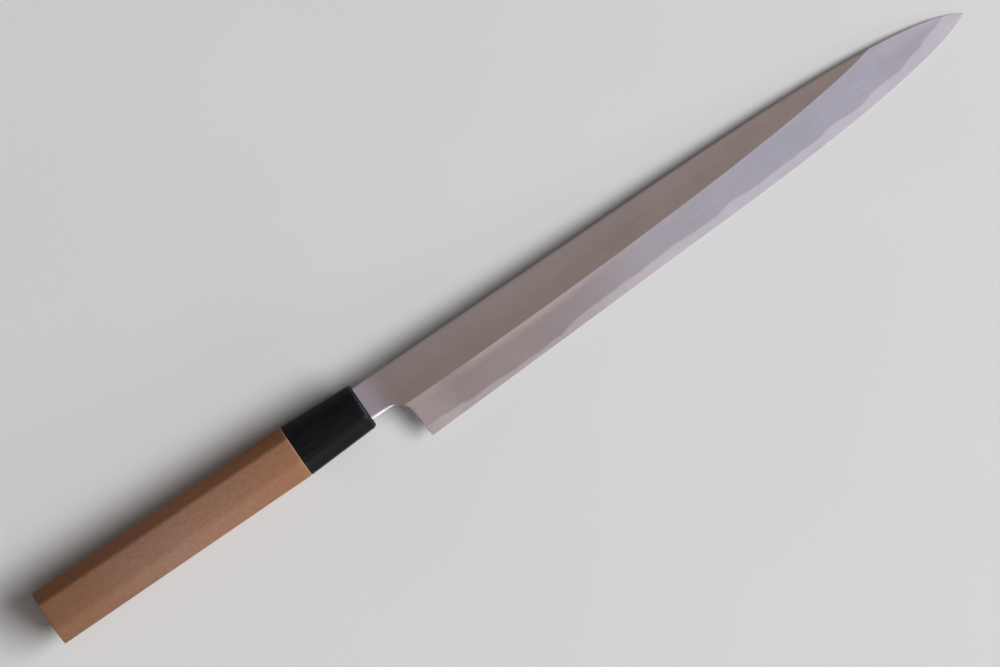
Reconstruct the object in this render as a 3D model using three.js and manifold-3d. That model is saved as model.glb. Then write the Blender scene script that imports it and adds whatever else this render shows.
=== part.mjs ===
// A single-bevel slicing knife lying on its left side, in millimetres.
// The origin is the centre of the handle's butt. +X runs to the tip, +Y to the spine
// and +Z out of the bevelled face.
import * as THREE from 'three';
import { mergeVertices } from 'three/addons/utils/BufferGeometryUtils.js';
import Module from 'manifold-3d';

// Wooden handle: an octagon that tapers from the butt to the collar, where the ferrule sits
const woodLength = 115;
const buttHeight = 23.4;
const buttWidth = 20;
const buttSideFlat = 12.3; // flat on the left and right sides
const buttCrownFlat = 9.6; // flat above and below
const buttEase = 0.8; // broken edge round the butt
const collarHeight = 22.5;
const collarWidth = 19.2;
const collarSideFlat = 10.4;
const collarCrownFlat = 8.8;
const collarEase = 0.45; // broken edge of the wood at the joint

// Horn ferrule: flush with the wood at the collar, smaller at its mouth
const ferruleLength = 31;
const mouthHeight = 19.4;
const mouthSideFlat = 9.4;
const mouthCrownFlat = 7.8;
const mouthEase = 0.9;
const ferruleWall = 1.3; // least wall at the mouth's end face

// Fits between the tang, its bedding, the tenon and the ferrule
const fit = 0.3;
const beddingWall = 0.6;
const beddingEnd = 2;
const tenonWall = 0.9; // least wood left at the corners of the tang slot
const tenonSetback = 1.6; // the tenon stops this far inside the ferrule's mouth

// Tang, hidden in the handle
const tangLength = 92;
const tangHeight = 6.6;
const tangThickness = 3.4;
const tangEndHeight = 4.4;
const tangEndThickness = 2.2;

// Blade outline
const spineHeight = 7.65; // spine above the handle's axis
const neckHeight = 14.1;
const neckThickness = 4.4;
const heelSetback = 15.7; // ferrule mouth to heel
const heelHeight = 32.3; // spine to heel
const heelLean = 1.3; // heel ahead of the choil's arc
const choilRadius = 6.9;
const edgeLength = 260;
const edgeSlope = 2.24; // degrees that the straight edge rises to the tip
const tipDrop = 12.55; // spine to tip
const tipBlunt = 0.4;

// Curved stretches, as lengths of their Bezier handles
const spineSweep = 153; // the spine starts to fall this far behind the tip
const spineSweepHandle = 69;
const spineTipRun = 19;
const spineTipRise = 12.3;
const edgeSweep = 142;
const edgeSweepHandle = 28;
const edgeTipRun = 26;
const edgeTipFall = 12.1;

// Bevel, and the ridge between the bevel and the flat
const bevelWidth = 15.8; // at the heel
const ridgeHandle = 60;
const ridgeRunout = 37.5; // the ridge meets the spine this far behind the tip
const ridgeRunoutRun = 31.5;
const ridgeRunoutFall = 9.2;
const tipThickness = 1.2; // what the spine would taper to at the tip
const edgeBlunt = 0.12;

// Hard steel forged to the back: it shows as a band along the edge
const steelBand = 4;
const steelBandWave = 0.45; // how far the band's upper line wanders
const steelBandWaveLength = 47;
const steelBandRipple = 2.3; // shorter waves in each long one
const steelStart = 7.4; // behind the heel
const ironSetback = 7; // the iron stops this far behind the tip
const steelTipRise = 20; // the band grows to the whole width over this length before that
const hollowDepth = 0.35; // hollow of the back
const hollowRim = 1.8; // flat rim left round the hollow
const hollowStart = 3; // ahead of the heel
const hollowFade = 16;
const hollowSteelShare = 0.4; // most of the steel's thickness that the hollow may take

// Worked-out places
const mouthX = woodLength + ferruleLength;
const heelX = mouthX + heelSetback;
const tipX = heelX + edgeLength;
const ironEnd = tipX - ironSetback;
const neckBottom = spineHeight - neckHeight;
const heelY = spineHeight - heelHeight;
const tipY = spineHeight - tipDrop;
const backZ = -neckThickness / 2;
const slotMargin = 2 * fit + beddingWall;
const slotCorner = Math.hypot(tangHeight / 2 + slotMargin, tangThickness / 2 + slotMargin);
const tenonRadius = slotCorner + tenonWall;
const boreRadius = tenonRadius + fit;
const mouthWidth = 2 * (boreRadius + ferruleWall + mouthEase);
const clear = 2; // how far a cutting tool reaches past what it cuts

// Fineness of the round and curved surfaces
const roundSides = 40;
const choilSegments = 16;
const hollowSteps = 6;
const bladeStations = 46;
const stationCrowding = 1.6; // stations draw closer towards the tip

const wasm = await Module();
wasm.setup();

// A closed geometry as a solid that can be joined and cut.
function solidOf(geometry) {
  const bare = geometry.clone();
  bare.deleteAttribute('normal');
  bare.deleteAttribute('uv');
  const merged = mergeVertices(bare, 1e-4);
  return new wasm.Manifold(new wasm.Mesh({
    numProp: 3,
    vertProperties: merged.attributes.position.array,
    triVerts: new Uint32Array(merged.index.array),
  }));
}

function geometryOf(solid) {
  const mesh = solid.getMesh();
  const geometry = new THREE.BufferGeometry();
  geometry.setAttribute('position', new THREE.BufferAttribute(mesh.vertProperties, 3));
  geometry.setIndex(new THREE.BufferAttribute(mesh.triVerts, 1));
  geometry.computeVertexNormals();
  return geometry;
}

// A closed solid through rings. Each station has its x and a ring of [y, z] points, which runs
// anticlockwise seen from +X, and all rings have the same number of points. Each end is closed
// by triangles about the middle of its ring.
function loft(stations) {
  const count = stations[0].ring.length;
  const points = stations.flatMap(({ x, ring }) => ring.flatMap(([y, z]) => [x, y, z]));
  const index = [];
  for (let s = 0; s + 1 < stations.length; s++) {
    for (let p = 0; p < count; p++) {
      const here = s * count + p;
      const next = s * count + ((p + 1) % count);
      index.push(here, next, next + count, here, next + count, here + count);
    }
  }
  for (const [station, outwards] of [[0, false], [stations.length - 1, true]]) {
    const { x, ring } = stations[station];
    const middle = points.length / 3;
    const meanOf = (axis) => ring.reduce((sum, corner) => sum + corner[axis], 0) / count;
    points.push(x, meanOf(0), meanOf(1));
    for (let p = 0; p < count; p++) {
      const here = station * count + p;
      const next = station * count + ((p + 1) % count);
      if (outwards) index.push(middle, here, next);
      else index.push(middle, next, here);
    }
  }
  const geometry = new THREE.BufferGeometry();
  geometry.setAttribute('position', new THREE.Float32BufferAttribute(points, 3));
  geometry.setIndex(index);
  return solidOf(geometry);
}

function rectangle(lowY, highY, lowZ, highZ) {
  return [[lowY, lowZ], [highY, lowZ], [highY, highZ], [lowY, highZ]];
}

function centredRectangle(height, thickness) {
  return rectangle(-height / 2, height / 2, -thickness / 2, thickness / 2);
}

// An octagon with all its sides moved inwards by inset; its corners turn about 45 degrees.
function octagon({ height, width, sideFlat, crownFlat }, inset = 0) {
  const cornerShift = inset * Math.tan(Math.PI / 8);
  const top = height / 2 - inset;
  const side = width / 2 - inset;
  const sideEnd = sideFlat / 2 - cornerShift;
  const crownEnd = crownFlat / 2 - cornerShift;
  return [
    [top, -crownEnd], [top, crownEnd], [sideEnd, side], [-sideEnd, side],
    [-top, crownEnd], [-top, -crownEnd], [-sideEnd, -side], [sideEnd, -side],
  ];
}

function between(first, second, share) {
  const mixed = {};
  for (const key in first) mixed[key] = THREE.MathUtils.lerp(first[key], second[key], share);
  return mixed;
}

// A round bar along X.
function bar(radius, fromX, toX) {
  const geometry = new THREE.CylinderGeometry(radius, radius, toX - fromX, roundSides);
  geometry.rotateZ(-Math.PI / 2);
  geometry.translate((fromX + toX) / 2, 0, 0);
  return solidOf(geometry);
}

// The tang's tapered shape, grown by margin on its four sides, from endX to rootX.
function tangShape(margin, endX, rootX) {
  const ringAt = (x) => {
    const share = (mouthX - x) / tangLength;
    return centredRectangle(
      THREE.MathUtils.lerp(tangHeight, tangEndHeight, share) + 2 * margin,
      THREE.MathUtils.lerp(tangThickness, tangEndThickness, share) + 2 * margin,
    );
  };
  return loft([endX, rootX].map((x) => ({ x, ring: ringAt(x) })));
}

// Blade lines: the height of a curve at x, found by halving its parameter
function curveHeight(curve, x) {
  let low = 0;
  let high = 1;
  for (let step = 0; step < 40; step++) {
    const middle = (low + high) / 2;
    if (curve.getPoint(middle).x < x) low = middle;
    else high = middle;
  }
  return curve.getPoint(low).y;
}

const edgeRise = Math.tan(THREE.MathUtils.degToRad(edgeSlope));
const straightEdge = (x) => heelY + edgeRise * (x - heelX);
const point = (x, y) => new THREE.Vector2(x, y);
const spineSweepX = tipX - spineSweep;
const edgeSweepX = tipX - edgeSweep;
const runoutX = tipX - ridgeRunout;

const spineCurve = new THREE.CubicBezierCurve(
  point(spineSweepX, spineHeight),
  point(spineSweepX + spineSweepHandle, spineHeight),
  point(tipX - spineTipRun, tipY + tipBlunt / 2 + spineTipRise),
  point(tipX, tipY + tipBlunt / 2),
);
const edgeCurve = new THREE.CubicBezierCurve(
  point(edgeSweepX, straightEdge(edgeSweepX)),
  point(edgeSweepX + edgeSweepHandle, straightEdge(edgeSweepX + edgeSweepHandle)),
  point(tipX - edgeTipRun, tipY - tipBlunt / 2 - edgeTipFall),
  point(tipX, tipY - tipBlunt / 2),
);
const spineAt = (x) => (x < spineSweepX ? spineHeight : curveHeight(spineCurve, x));
const edgeAt = (x) => (x < edgeSweepX ? straightEdge(x) : curveHeight(edgeCurve, x));

const ridgeCurve = new THREE.CubicBezierCurve(
  point(heelX, heelY + bevelWidth),
  point(heelX + ridgeHandle, heelY + bevelWidth),
  point(runoutX - ridgeRunoutRun, spineAt(runoutX) - ridgeRunoutFall),
  point(runoutX, spineAt(runoutX)),
);
const leastFlat = 0.02; // share of the width that stays flat past the runout

function ridgeAt(x) {
  const spine = spineAt(x);
  const highest = spine - leastFlat * (spine - edgeAt(x));
  if (x > runoutX) return highest;
  return Math.min(highest, x < heelX ? heelY + bevelWidth : curveHeight(ridgeCurve, x));
}

// Even taper from the neck; past the runout the bevel alone sets the thickness.
function thicknessAt(x) {
  const taperAt = (place) => THREE.MathUtils.mapLinear(place, mouthX, tipX, neckThickness, tipThickness);
  if (x < runoutX) return taperAt(x);
  const share = (spineAt(x) - edgeAt(x)) / (spineAt(runoutX) - edgeAt(runoutX));
  return edgeBlunt + (taperAt(runoutX) - edgeBlunt) * share;
}

// Height of the weld between steel and iron above the back: where the bevel cuts it, the steel
// shows as a band whose width swells and shrinks along the blade and takes the whole of the tip.
function steelDepthAt(x) {
  const turn = (2 * Math.PI * (x - heelX)) / steelBandWaveLength;
  const wavy = steelBand + steelBandWave * (Math.sin(turn) + Math.sin(steelBandRipple * turn + 1)) / 2;
  const rise = THREE.MathUtils.clamp((x - ironEnd) / steelTipRise + 1, 0, 1) ** 3;
  const band = THREE.MathUtils.lerp(wavy, spineAt(x) - edgeAt(x), rise);
  return edgeBlunt + (thicknessAt(x) - edgeBlunt) * band / (ridgeAt(x) - edgeAt(x));
}

function hollowAt(x) {
  const fade = THREE.MathUtils.smoothstep(x, heelX + hollowStart, heelX + hollowStart + hollowFade);
  return fade * Math.min(hollowDepth, hollowSteelShare * steelDepthAt(x));
}

// Section of the blade: along the hollow back, up the spine, over the flat and down the bevel.
function bladeRing(x) {
  const spine = spineAt(x);
  const edge = edgeAt(x);
  const rim = Math.min(hollowRim, (spine - edge) / 4);
  const ring = [[edge, backZ]];
  for (let step = 0; step <= hollowSteps; step++) {
    const share = step / hollowSteps;
    const rise = hollowAt(x) * 4 * share * (1 - share);
    ring.push([THREE.MathUtils.lerp(edge + rim, spine - rim, share), backZ + rise]);
  }
  const top = backZ + thicknessAt(x);
  ring.push([spine, backZ], [spine, top], [ridgeAt(x), top], [edge, backZ + edgeBlunt]);
  return ring;
}

const bladeX = [];
for (let station = 0; station <= bladeStations; station++) {
  const left = (1 - station / bladeStations) ** stationCrowding;
  bladeX.push(tipX - edgeLength * left);
}

// Notch under the neck: along the neck, round the choil and down to the heel.
function choilCut() {
  const centre = point(heelX - heelLean - choilRadius, neckBottom - choilRadius);
  const toHeel = point(heelX, heelY).sub(centre);
  const touch = toHeel.angle() - 2 * Math.PI + Math.acos(choilRadius / toHeel.length());
  const outline = new THREE.Shape();
  outline.moveTo(mouthX - clear, neckBottom);
  outline.lineTo(centre.x, neckBottom);
  outline.absarc(centre.x, centre.y, choilRadius, Math.PI / 2, touch, true);
  outline.lineTo(heelX, heelY);
  outline.lineTo(heelX, heelY - clear);
  outline.lineTo(mouthX - clear, heelY - clear);
  const depth = neckThickness + 2 * clear;
  const geometry = new THREE.ExtrudeGeometry(outline, {
    depth, bevelEnabled: false, curveSegments: choilSegments,
  });
  geometry.translate(0, 0, backZ - clear);
  return solidOf(geometry);
}

// Everything under the weld, and the whole of the tip.
function steelRegion() {
  const lowY = heelY - 2 * clear;
  const highY = spineHeight + clear;
  const stations = [heelX - steelStart, ...bladeX, tipX + clear].map((x) => ({
    x,
    ring: rectangle(lowY, highY, backZ - clear, backZ + steelDepthAt(Math.min(x, tipX))),
  }));
  const tipBlock = [ironEnd, tipX + clear].map((x) => ({
    x,
    ring: rectangle(lowY, highY, backZ - clear, backZ + neckThickness),
  }));
  return loft(stations).add(loft(tipBlock));
}

const bladeBlank = loft(
  [mouthX, heelX - steelStart, ...bladeX].map((x) => ({ x, ring: bladeRing(x) })),
).subtract(choilCut());
const steelShare = steelRegion();
const tang = tangShape(0, mouthX - tangLength, mouthX + clear);

const slotEnd = mouthX - tangLength - beddingEnd - 2 * fit;
const tangSlot = tangShape(slotMargin, slotEnd, mouthX + clear);
const beddingOuter = tangShape(slotMargin - fit, slotEnd + fit, mouthX);
const beddingHole = tangShape(fit, mouthX - tangLength - fit, mouthX + clear);

const buttSection = {
  height: buttHeight, width: buttWidth, sideFlat: buttSideFlat, crownFlat: buttCrownFlat,
};
const collarSection = {
  height: collarHeight, width: collarWidth, sideFlat: collarSideFlat, crownFlat: collarCrownFlat,
};
const mouthSection = {
  height: mouthHeight, width: mouthWidth, sideFlat: mouthSideFlat, crownFlat: mouthCrownFlat,
};

function woodBody() {
  const sectionAt = (x) => between(buttSection, collarSection, x / woodLength);
  return loft([
    { x: 0, ring: octagon(buttSection, buttEase) },
    { x: buttEase, ring: octagon(sectionAt(buttEase)) },
    { x: woodLength - collarEase, ring: octagon(sectionAt(woodLength - collarEase)) },
    { x: woodLength, ring: octagon(collarSection, collarEase) },
  ]);
}

function ferruleBody() {
  const sectionAt = (x) => between(collarSection, mouthSection, (x - woodLength) / ferruleLength);
  return loft([
    { x: woodLength, ring: octagon(collarSection) },
    { x: mouthX - mouthEase, ring: octagon(sectionAt(mouthX - mouthEase)) },
    { x: mouthX, ring: octagon(mouthSection, mouthEase) },
  ]);
}

const knife = new THREE.Group();

function addPiece(name, solid, color, roughness, metalness) {
  const material = new THREE.MeshStandardMaterial({ color, roughness, metalness });
  const mesh = new THREE.Mesh(geometryOf(solid), material);
  mesh.name = name;
  knife.add(mesh);
}

const tenon = bar(tenonRadius, woodLength - clear, mouthX - tenonSetback);
const bore = bar(boreRadius, woodLength - clear, mouthX + clear);

addPiece('blade_iron', bladeBlank.subtract(steelShare).add(tang), 0x8b8180, 0.4, 1);
addPiece('edge_steel', bladeBlank.intersect(steelShare), 0xb3aab0, 0.3, 1);
addPiece('wood_handle', woodBody().add(tenon).subtract(tangSlot), 0x8a6450, 0.6, 0);
addPiece('horn_ferrule', ferruleBody().subtract(bore), 0x131218, 0.3, 0);
addPiece('tang_bedding', beddingOuter.subtract(beddingHole), 0x4a3320, 0.5, 0);

export default knife;
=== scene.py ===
import math
import bpy
import numpy as np
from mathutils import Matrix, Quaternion, Vector


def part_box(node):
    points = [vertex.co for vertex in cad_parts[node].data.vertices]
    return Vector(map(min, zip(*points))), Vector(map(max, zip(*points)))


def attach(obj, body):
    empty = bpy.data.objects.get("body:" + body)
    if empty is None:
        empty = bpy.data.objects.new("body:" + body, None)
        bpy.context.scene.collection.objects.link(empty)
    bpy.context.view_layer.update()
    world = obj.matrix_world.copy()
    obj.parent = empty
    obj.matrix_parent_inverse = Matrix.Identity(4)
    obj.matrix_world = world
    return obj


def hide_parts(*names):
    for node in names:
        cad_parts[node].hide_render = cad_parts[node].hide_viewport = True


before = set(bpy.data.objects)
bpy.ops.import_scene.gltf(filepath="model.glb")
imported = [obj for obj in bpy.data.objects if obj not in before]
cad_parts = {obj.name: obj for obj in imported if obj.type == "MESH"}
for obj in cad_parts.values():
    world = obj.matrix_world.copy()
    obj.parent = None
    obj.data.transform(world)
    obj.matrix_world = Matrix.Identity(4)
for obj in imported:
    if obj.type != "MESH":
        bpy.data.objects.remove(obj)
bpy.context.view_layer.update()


def boxOf(node):  # lowest and highest corner of a CAD node, in millimetres
    low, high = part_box(node)
    return np.array(low) * 1000, np.array(high) * 1000


ironLow, ironHigh = boxOf("blade_iron")
steelLow, steelHigh = boxOf("edge_steel")
woodLow, woodHigh = boxOf("wood_handle")
ferruleLow, ferruleHigh = boxOf("horn_ferrule")
collarX, mouthX, tenonEndX = ferruleLow[0], ferruleHigh[0], woodHigh[0]
tangEndX, tipX = ironLow[0], steelHigh[0]
spineY, heelY, backZ = ironHigh[1], steelLow[1], steelLow[2]
print("frame read: handle", round(mouthX, 1), "mm, whole knife", round(tipX, 1), "mm")


sharpAngle = math.radians(34)  # faces that meet at more than this keep a hard edge


# Rings of points become a closed mesh: quads between neighbouring rings, and a fan of triangles
# about the mean point at each end, or quads back to the first ring where the path is a loop.
def pieceFromRings(name, rings, node, materials, loop=False, faceMaterial=None, marks=None):
    rows, columns = rings.shape[:2]
    index = np.arange(rows * columns).reshape(rows, columns)
    ahead = np.roll(index, -1, 0)
    quads = np.stack([index, np.roll(index, -1, 1), np.roll(ahead, -1, 1), ahead], -1)
    points = rings.reshape(-1, 3)
    quads = (quads if loop else quads[:-1]).reshape(-1, 4)
    faces = quads.tolist()
    if not loop:
        firstMiddle, lastMiddle = rows * columns, rows * columns + 1
        points = np.concatenate([points, rings[:1].mean(1), rings[-1:].mean(1)])
        first, last = index[0], index[-1]
        faces += np.stack([np.full(columns, firstMiddle), np.roll(first, -1), first], -1).tolist()
        faces += np.stack([np.full(columns, lastMiddle), last, np.roll(last, -1)], -1).tolist()
    mesh = bpy.data.meshes.new(name)
    mesh.from_pydata((points / 1000).tolist(), [], faces)
    for material in materials:
        mesh.materials.append(material)
    if faceMaterial is not None:
        chosen = np.zeros(len(faces), np.int32)
        chosen[:len(quads)] = faceMaterial(points[quads].mean(1), np.arange(len(quads)) % columns)
        mesh.polygons.foreach_set("material_index", chosen)
    for mark, valueAt in (marks or {}).items():
        layer = mesh.attributes.new(mark, "FLOAT", "POINT")
        layer.data.foreach_set("value", valueAt(points).astype(np.float32))
    mesh.polygons.foreach_set("use_smooth", np.ones(len(faces), bool))
    mesh.set_sharp_from_angle(angle=sharpAngle)
    mesh.update()
    piece = bpy.data.objects.new(name, mesh)
    bpy.context.scene.collection.objects.link(piece)
    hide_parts(node)
    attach(piece, "root")
    print("made", name, "with", len(faces), "faces")


# Node helpers: settings by name, inputs by socket name or number, a socket given as a value is linked
def addNode(tree, kind, inputs=None, **settings):
    node = tree.nodes.new("ShaderNode" + kind)
    for key, value in settings.items():
        setattr(node, key, value)
    for key, value in (inputs or {}).items():
        if isinstance(value, bpy.types.NodeSocket):
            tree.links.new(value, node.inputs[key])
        else:
            node.inputs[key].default_value = value
    return node


def mixColour(tree, share, first, second, blend="MIX"):
    node = addNode(tree, "Mix", {0: share, 6: first, 7: second}, data_type="RGBA", blend_type=blend)
    return node.outputs[2]


def rangeOf(tree, value, fromLow, fromHigh, toLow=0.0, toHigh=1.0, smooth=False):
    kind = "SMOOTHSTEP" if smooth else "LINEAR"
    node = addNode(tree, "MapRange", {"Value": value, "From Min": fromLow, "From Max": fromHigh,
                                      "To Min": toLow, "To Max": toHigh}, interpolation_type=kind)
    return node.outputs["Result"]


def maths(tree, operation, first, second):
    return addNode(tree, "Math", {0: first, 1: second}, operation=operation).outputs[0]


def newGroup(name, inputs, output):
    group = bpy.data.node_groups.new(name, "ShaderNodeTree")
    for label in inputs:
        kind = "NodeSocketVector" if label == "Vector" else "NodeSocketFloat"
        group.interface.new_socket(label, in_out="INPUT", socket_type=kind)
    group.interface.new_socket(output, in_out="OUTPUT", socket_type="NodeSocketFloat")
    return group, group.nodes.new("NodeGroupInput").outputs, group.nodes.new("NodeGroupOutput").inputs


def placeGroup(tree, group, inputs):
    return addNode(tree, "Group", inputs, node_tree=group).outputs[0]


# Streaks: noise drawn out along X, fine streaks with a share of ones six times as broad. A look gives
# them as a count per metre across, a stretch and that share.
streaksShape = {"fineDetail": 3.0, "broadScale": 0.16, "broadDetail": 2.0, "span": (0.35, 0.65)}


def makeStreaks(own):
    group, given, made = newGroup("streaks", ["Vector", "PerMetre", "Stretch", "Broad"], "Streaks")
    along = maths(group, "DIVIDE", given["PerMetre"], given["Stretch"])
    size = addNode(group, "CombineXYZ", {"X": along, "Y": given["PerMetre"], "Z": given["PerMetre"]})
    drawn = addNode(group, "VectorMath", {0: given["Vector"], 1: size.outputs[0]}, operation="MULTIPLY")
    fine = addNode(group, "TexNoise", {"Vector": drawn.outputs[0], "Scale": 1.0,
                                       "Detail": own["fineDetail"]})
    broad = addNode(group, "TexNoise", {"Vector": drawn.outputs[0], "Scale": own["broadScale"],
                                        "Detail": own["broadDetail"]})
    both = addNode(group, "Mix", {0: given["Broad"], 2: fine.outputs[0], 3: broad.outputs[0]})
    group.links.new(rangeOf(group, both.outputs[0], *own["span"]), made["Streaks"])
    return group


# Clouds: slow soft patches
cloudsShape = {"roughness": 0.55, "span": (0.32, 0.68)}


def makeClouds(own):
    group, given, made = newGroup("clouds", ["Vector", "PerMetre", "Detail"], "Clouds")
    noise = addNode(group, "TexNoise", {"Vector": given["Vector"], "Scale": given["PerMetre"],
                                        "Detail": given["Detail"], "Roughness": own["roughness"]})
    group.links.new(rangeOf(group, noise.outputs[0], *own["span"], smooth=True), made["Clouds"])
    return group


# Worn edges: convex places, broken up by noise
wornShape = {"breaksPerMetre": 700.0, "detail": 2.0, "span": (0.3, 0.6), "wear": (0.45, 1.0)}


def makeWornEdges(own):
    group, given, made = newGroup("wornEdges", ["Vector", "From", "To"], "Worn")
    shape = addNode(group, "NewGeometry")
    edge = addNode(group, "MapRange", {"Value": shape.outputs["Pointiness"], "From Min": given["From"],
                                       "From Max": given["To"]})
    noise = addNode(group, "TexNoise", {"Vector": given["Vector"], "Scale": own["breaksPerMetre"],
                                        "Detail": own["detail"]})
    uneven = rangeOf(group, noise.outputs[0], *own["span"], *own["wear"])
    group.links.new(maths(group, "MULTIPLY", edge.outputs[0], uneven), made["Worn"])
    return group


streaksGroup, cloudsGroup = makeStreaks(streaksShape), makeClouds(cloudsShape)
wornEdgesGroup = makeWornEdges(wornShape)


def streaksOf(tree, place, perMetre, stretch, broad):
    return placeGroup(tree, streaksGroup, {
        "Vector": place, "PerMetre": perMetre, "Stretch": stretch, "Broad": broad})


def cloudsOf(tree, place, perMetre, detail=3.0):
    return placeGroup(tree, cloudsGroup, {"Vector": place, "PerMetre": perMetre, "Detail": detail})


def wornOf(tree, place, low, high):
    return placeGroup(tree, wornEdgesGroup, {"Vector": place, "From": low, "To": high})


def newMaterial(name, **plain):
    material = bpy.data.materials.new(name)
    material.use_nodes = True
    tree = material.node_tree
    shader = tree.nodes["Principled BSDF"]
    for label, value in plain.items():
        shader.inputs[label.replace("_", " ")].default_value = value
    place = addNode(tree, "TexCoord").outputs["Object"]
    return material, tree, shader, place


def finishSurface(tree, shader, look, colour, roughness, height):
    bump = addNode(tree, "Bump", {"Height": height, "Strength": look["bump"], "Distance": look["depth"]})
    tree.links.new(colour, shader.inputs["Base Color"])
    tree.links.new(roughness, shader.inputs["Roughness"])
    tree.links.new(bump.outputs["Normal"], shader.inputs["Normal"])


def alongKnife(tree, place, start, end):  # nought before start, one after end, in millimetres
    x = addNode(tree, "SeparateXYZ", {0: place}).outputs["X"]
    return rangeOf(tree, x, start / 1000, end / 1000, smooth=True)


def insideRun(tree, place, start, full, last, end):  # nought outside the run, one in its middle
    return maths(tree, "MULTIPLY", alongKnife(tree, place, start, full), alongKnife(tree, place, end, last))


def markOf(tree, name):  # a piece's own attribute
    return addNode(tree, "Attribute", attribute_name=name).outputs["Fac"]


def shaded(tree, colour, shade, low, high):  # a colour made darker or lighter by a share
    grey = addNode(tree, "CombineXYZ", {key: rangeOf(tree, shade, 0, 1, low, high) for key in "XYZ"})
    return mixColour(tree, 1.0, colour, grey.outputs[0], "MULTIPLY")


def weighted(tree, first, share, second):  # a share of the first value and the rest of the second
    return maths(tree, "ADD", maths(tree, "MULTIPLY", first, share),
                 maths(tree, "MULTIPLY", second, 1 - share))


# Wear and painted highlight on the neck's broken edge: a pale colour standing for the polished wear and the
# glint of light along it, one at the edge itself, nought from that width inwards, uneven, and fading round
# the choil
edgeWearHighlightLook = {
    "colour": (0.80, 0.78, 0.79, 1), "width": 0.8, "inner": 0.1, "unevenPerMetre": 500.0, "uneven": 0.3,
    "highlightFadeRun": (mouthX + 8.5, mouthX + 14), "highlightFaded": 0.3,
}


def edgeWearHighlightMask(tree, place, own):
    uneven = cloudsOf(tree, place, own["unevenPerMetre"])
    distance = maths(tree, "ADD", markOf(tree, "nearEdge"), maths(tree, "MULTIPLY", uneven, own["uneven"]))
    atEdge = rangeOf(tree, distance, own["width"], own["inner"], smooth=True)
    fading = rangeOf(tree, alongKnife(tree, place, *own["highlightFadeRun"]), 0, 1, 1.0, own["highlightFaded"])
    return maths(tree, "MULTIPLY", atEdge, fading)


# Satin flat, neck and spine: fine lengthwise polishing lines, paler towards the spine, and bluish beside
# the ferrule, a painted reflection of cool light on the neck
ironFlatLook = {
    "plain": (0.40, 0.322, 0.298, 1), "spineSide": (0.43, 0.36, 0.348, 1), "neck": (0.50, 0.435, 0.495, 1),
    "spineRun": (-2, -15), "neckSheenRun": (mouthX + 13, mouthX + 1),
    "lines": (9000, 70, 0.25), "patchesPerMetre": 40.0, "lineShare": 0.55,
    "shade": (0.92, 1.08), "roughness": (0.32, 0.38), "edgePolish": 0.14, "bump": 0.04, "depth": 0.0001,
}


def makeIronFlat(look):
    material, tree, shader, place = newMaterial("ironFlat", Metallic=1.0)
    lines = streaksOf(tree, place, *look["lines"])
    patches = cloudsOf(tree, place, look["patchesPerMetre"])
    edge = edgeWearHighlightMask(tree, place, edgeWearHighlightLook)
    towardsSpine = rangeOf(tree, markOf(tree, "belowRidge"), *look["spineRun"], smooth=True)
    colour = mixColour(tree, towardsSpine, look["plain"], look["spineSide"])
    # painted reflection: the neck made bluish and lighter next to the ferrule
    colour = mixColour(tree, alongKnife(tree, place, *look["neckSheenRun"]), colour, look["neck"])
    shade = weighted(tree, lines, look["lineShare"], patches)
    colour = shaded(tree, colour, shade, *look["shade"])
    # painted highlight and wear: the neck's broken edge made pale
    colour = mixColour(tree, edge, colour, edgeWearHighlightLook["colour"])
    roughness = maths(tree, "SUBTRACT", rangeOf(tree, lines, 0, 1, *look["roughness"]),
                      maths(tree, "MULTIPLY", edge, look["edgePolish"]))
    finishSurface(tree, shader, look, colour, roughness, lines)
    return material


# Hazy bevel, on the iron and on the bare steel alike: a dim stone finish with a painted highlight under the
# ridge, lighter on the spine's side past the runout and bright below the haze line along the edge; each
# colour is given at the heel and towards the tip, that change a painted reflection, with painted shade along
# the middle and painted light towards the tip
bevelLook = {
    "middle": ((0.345, 0.287, 0.284, 1), (0.39, 0.373, 0.438, 1)),
    "ridge": ((0.50, 0.40, 0.37, 1), (0.462, 0.425, 0.475, 1)),
    "bright": ((0.485, 0.425, 0.424, 1), (0.52, 0.49, 0.552, 1)),
    "tipRun": (190, 330), "runoutRun": (tipX - 44, tipX - 30), "tipShares": (0.68, 0.28),
    "ridgeHighlightBand": (4.6, 2.4), "ridgeHighlightFull": 0.3, "ridgeHighlightRun": (176, 200, 240, 262), "leastRidgeHighlight": 0.25,
    "hazeSoft": (0.6, -0.5), "raggedPerMetre": 170.0, "ragged": (-0.16, 0.16),
    "heelRun": (162, 175), "heelBright": 0.5,
    "paintedDimRun": (168, 182, 236, 275), "paintedDimShade": 0.84, "paintedLiftRun": (310, 385), "paintedLiftShade": 1.17,
    "lines": (5200, 9, 0.3), "patchesPerMetre": 42.0, "lineShare": 0.5,
    "shade": (0.94, 1.06), "roughness": (0.35, 0.40), "bump": 0.04, "depth": 0.0001,
}


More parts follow.
